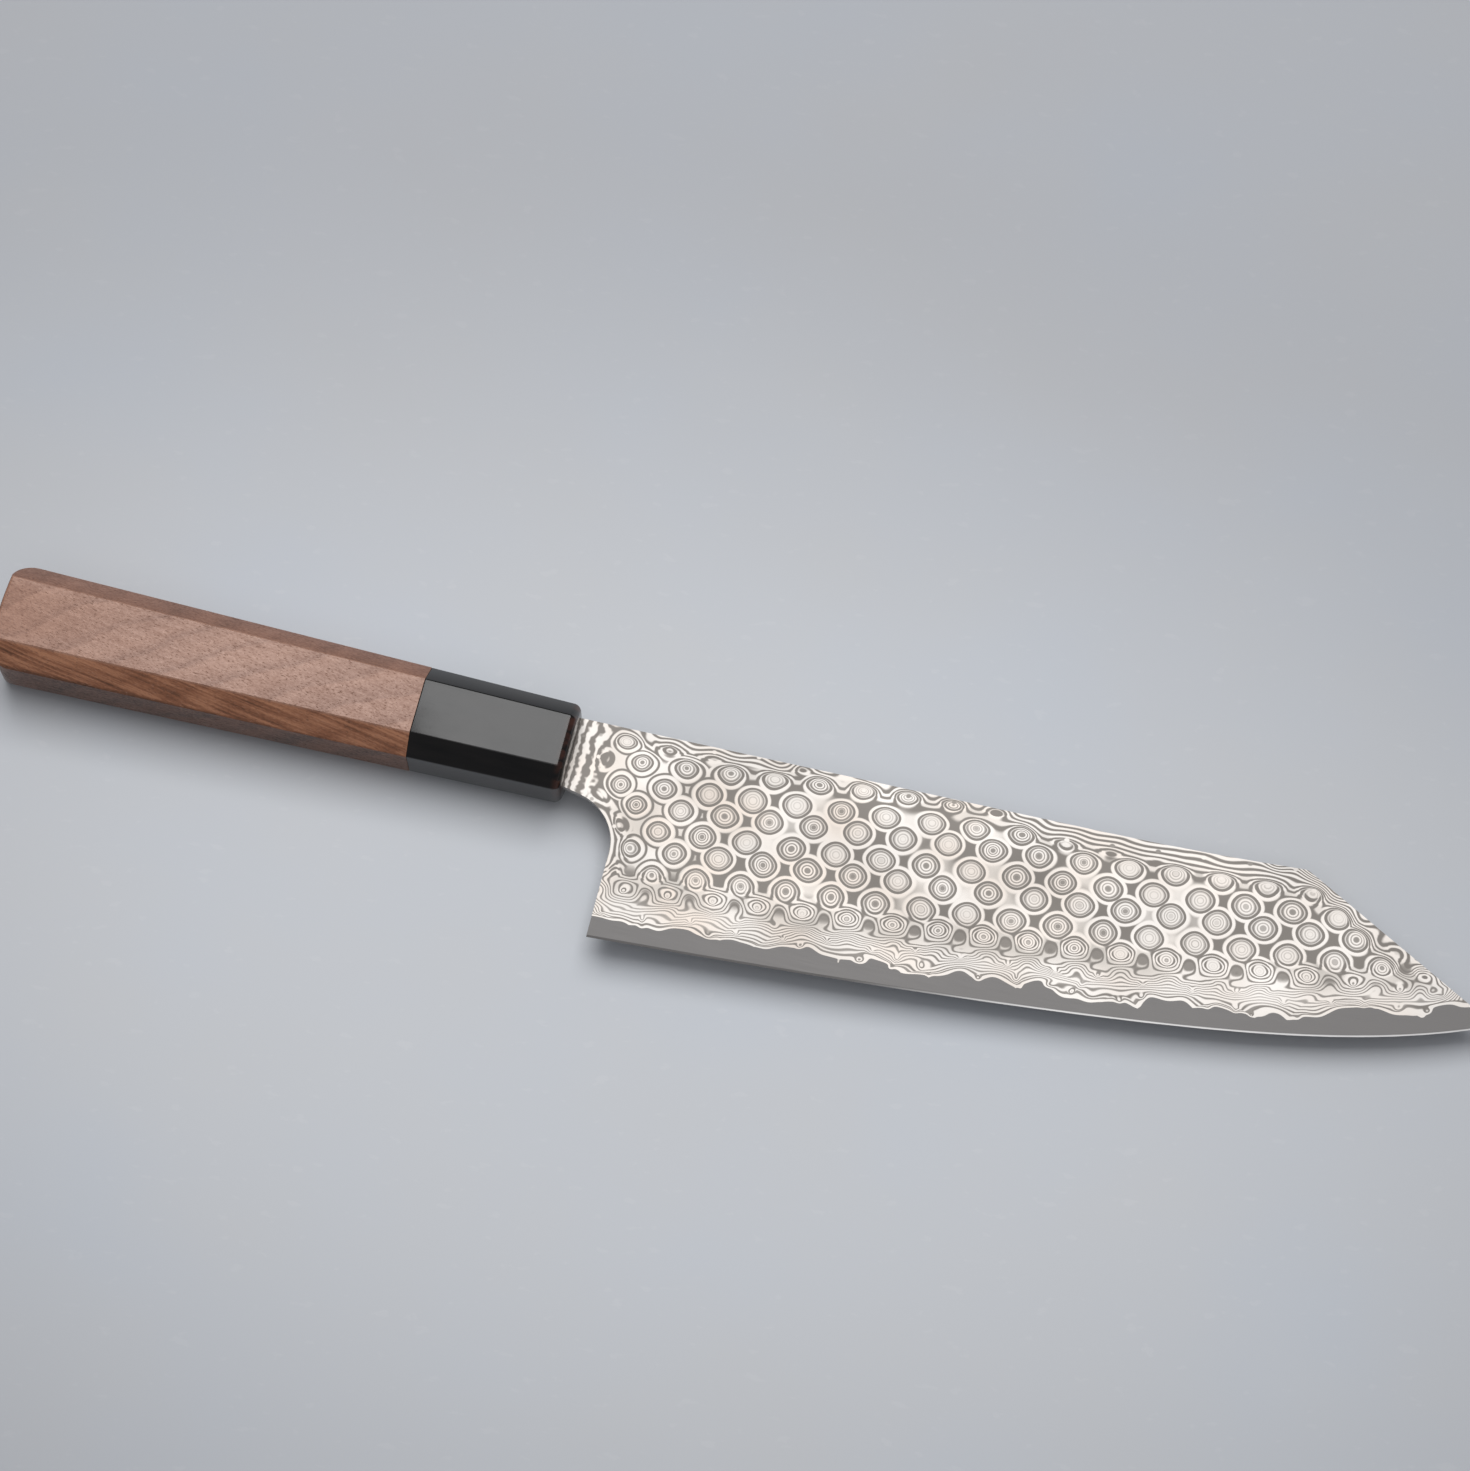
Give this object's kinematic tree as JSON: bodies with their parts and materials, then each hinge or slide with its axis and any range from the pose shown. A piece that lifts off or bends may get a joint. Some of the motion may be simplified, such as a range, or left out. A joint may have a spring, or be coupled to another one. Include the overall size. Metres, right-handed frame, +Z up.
{
  "type": "kiritsuke knife",
  "caption": "Japanese-style kitchen knife with an angled point, a layered patterned blade with a bare core edge, and an octagonal walnut handle with a black collar.",
  "frame": {"origin": "on the surface that the knife lies on, under the middle of its outline from butt to tip and from heel to spine", "axes": "+X along the knife from the butt towards the tip, +Y across it from the cutting edge towards the spine, +Z up from the surface, nearly square to the blade's face"},
  "size_m": [0.3651, 0.0565, 0.0217],
  "materials": {
    "core_steel": "fine satin, bare hard steel",
    "layered_steel": "etched layered steel with rows of ring-shaped dimples",
    "black_horn": "polished black horn",
    "walnut": "fine-sanded and oiled walnut",
    "dowel_wood": "plain turned hardwood",
    "bedding": "cured resin adhesive"
  },
  "bodies": {
    "root": {"core_steel": "core_steel", "cladding_upper": "layered_steel", "cladding_lower": "layered_steel", "ferrule": "black_horn", "grip": "walnut", "dowel": "dowel_wood", "tang_bedding": "bedding"}
  },
  "joints": []
}
